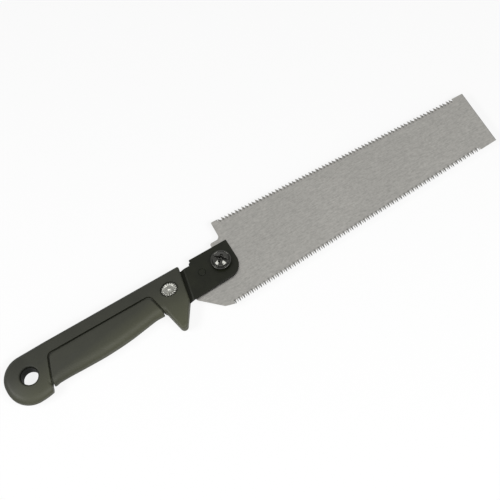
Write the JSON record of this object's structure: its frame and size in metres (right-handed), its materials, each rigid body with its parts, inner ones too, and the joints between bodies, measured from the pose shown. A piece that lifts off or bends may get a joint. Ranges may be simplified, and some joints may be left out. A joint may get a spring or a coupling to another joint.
{
  "type": "ryoba saw",
  "caption": "Small double-edged Japanese pull saw with rip and crosscut teeth, a one-screw blade holder and a plastic handle with a grip inset, finger guard and hanging hole.",
  "frame": {"origin": "middle of the saw's underside as it lies on its left face", "axes": "+X along the blade to its tip, +Y across the blade to the rip teeth, +Z out of the face with the clamp screw's head"},
  "size_m": [0.39, 0.0638, 0.0152],
  "materials": {
    "handle_plastic": "fine satin texture, dark olive grey",
    "grip_elastomer": "matte, slightly warmer and lighter than the shells",
    "black_steel": "satin black coating",
    "screw_black": "glossy black oxide",
    "bright_plate": "bright plated",
    "zinc_steel": "plain zinc plate",
    "blade_steel": "satin ground tool steel"
  },
  "bodies": {
    "handle": {"right_handle_shell": "handle_plastic", "left_handle_shell": "handle_plastic", "grip_sleeve": "grip_elastomer", "blade_holder": "black_steel", "locating_pin": "black_steel", "tang_rivet": "bright_plate", "rivet_escutcheon": "bright_plate", "rivet_washer": "zinc_steel", "rear_shell_screw": "zinc_steel", "middle_shell_screw": "zinc_steel", "spring_washer": "black_steel"},
    "screw": {"clamp_screw": "screw_black"},
    "clamp": {"clamp_plate": "black_steel", "clamp_nut": "black_steel"},
    "blade": {"saw_blade": "blade_steel"}
  },
  "joints": [
    {"name": "clamp_screw_turn", "type": "hinge", "parent": "handle", "child": "screw", "pos_m": [-0.02318, 0.00063, 0.0092], "axis": [0, 0, 1], "range_deg": [0, 720]},
    {"name": "clamp_plate_release", "type": "slide", "parent": "handle", "child": "clamp", "axis": [0, 0, -1], "range_m": [0, 0.002]},
    {"name": "blade_slide", "type": "slide", "parent": "handle", "child": "blade", "axis": [1, 0, 0], "range_m": [0, 0.03]}
  ],
  "couplings": [
    {"joint": "clamp_plate_release", "follows": "clamp_screw_turn", "m_per_rad": 0.00015915}
  ]
}
